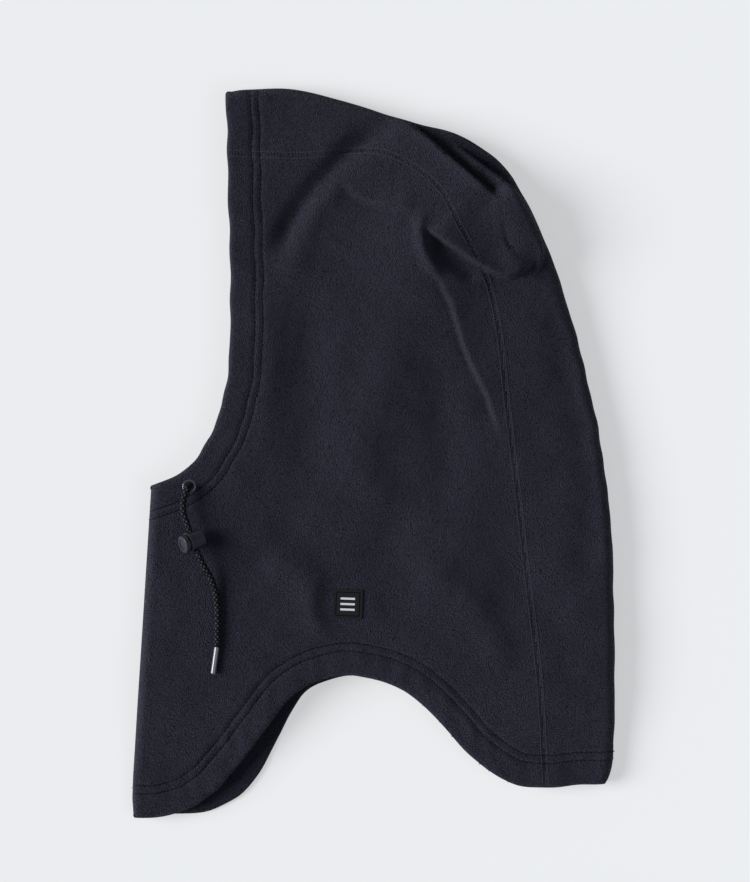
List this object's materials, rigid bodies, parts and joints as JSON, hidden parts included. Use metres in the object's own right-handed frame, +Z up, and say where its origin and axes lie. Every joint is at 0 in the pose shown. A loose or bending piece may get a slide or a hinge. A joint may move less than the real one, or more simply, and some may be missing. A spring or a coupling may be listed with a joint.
{
  "type": "fleece balaclava",
  "caption": "Fleece balaclava hood lying flat, with a crown strip, twin-needle hems and an elastic drawcord with a spring cord lock at the chin.",
  "frame": {"origin": "below the middle of the fleece, on the surface that the hood lies on; the free drawcord and its fittings are left out of that middle", "axes": "+X towards the back of the head, +Y towards the crown, +Z up from that surface, out of the wearer's left side"},
  "size_m": [0.283, 0.4284, 0.0352],
  "materials": {
    "fleece": "short-pile microfleece",
    "thread": "sewing thread",
    "cord": "round braid",
    "dark_metal": "satin",
    "lock_plastic": "matt",
    "spring_steel": "drawn wire",
    "tip_metal": "satin",
    "label_rubber": "matt moulded rubber",
    "mark": "matt"
  },
  "bodies": {
    "hood": {"main_panel": "fleece", "centre_panel": "fleece", "crown_seam_left": "thread", "crown_seam_right": "thread", "face_hem_outer_row": "thread", "face_hem_inner_row": "thread", "neck_hem_outer_row": "thread", "neck_hem_inner_row": "thread", "drawcord_in_hem": "cord", "drawcord_free_end": "cord", "eyelet": "dark_metal", "eyelet_washer": "dark_metal", "cord_tip": "tip_metal", "label": "label_rubber", "label_mark": "mark", "label_stitching": "thread"},
    "cord_lock": {"cord_lock_barrel": "lock_plastic", "cord_lock_spring": "spring_steel"},
    "lock_button": {"cord_lock_button": "lock_plastic"}
  },
  "joints": [
    {"name": "cord_lock_slide", "type": "slide", "parent": "hood", "child": "cord_lock", "axis": [0.342, -0.9397, 0], "range_m": [-0.004, 0.004]},
    {"name": "lock_button_press", "type": "slide", "parent": "cord_lock", "child": "lock_button", "axis": [0.8138, 0.2962, -0.5], "range_m": [0, 0.0013], "stiffness_N_per_m": 1500, "springref_m": -0.002, "deforming": ["cord_lock_spring"]}
  ]
}
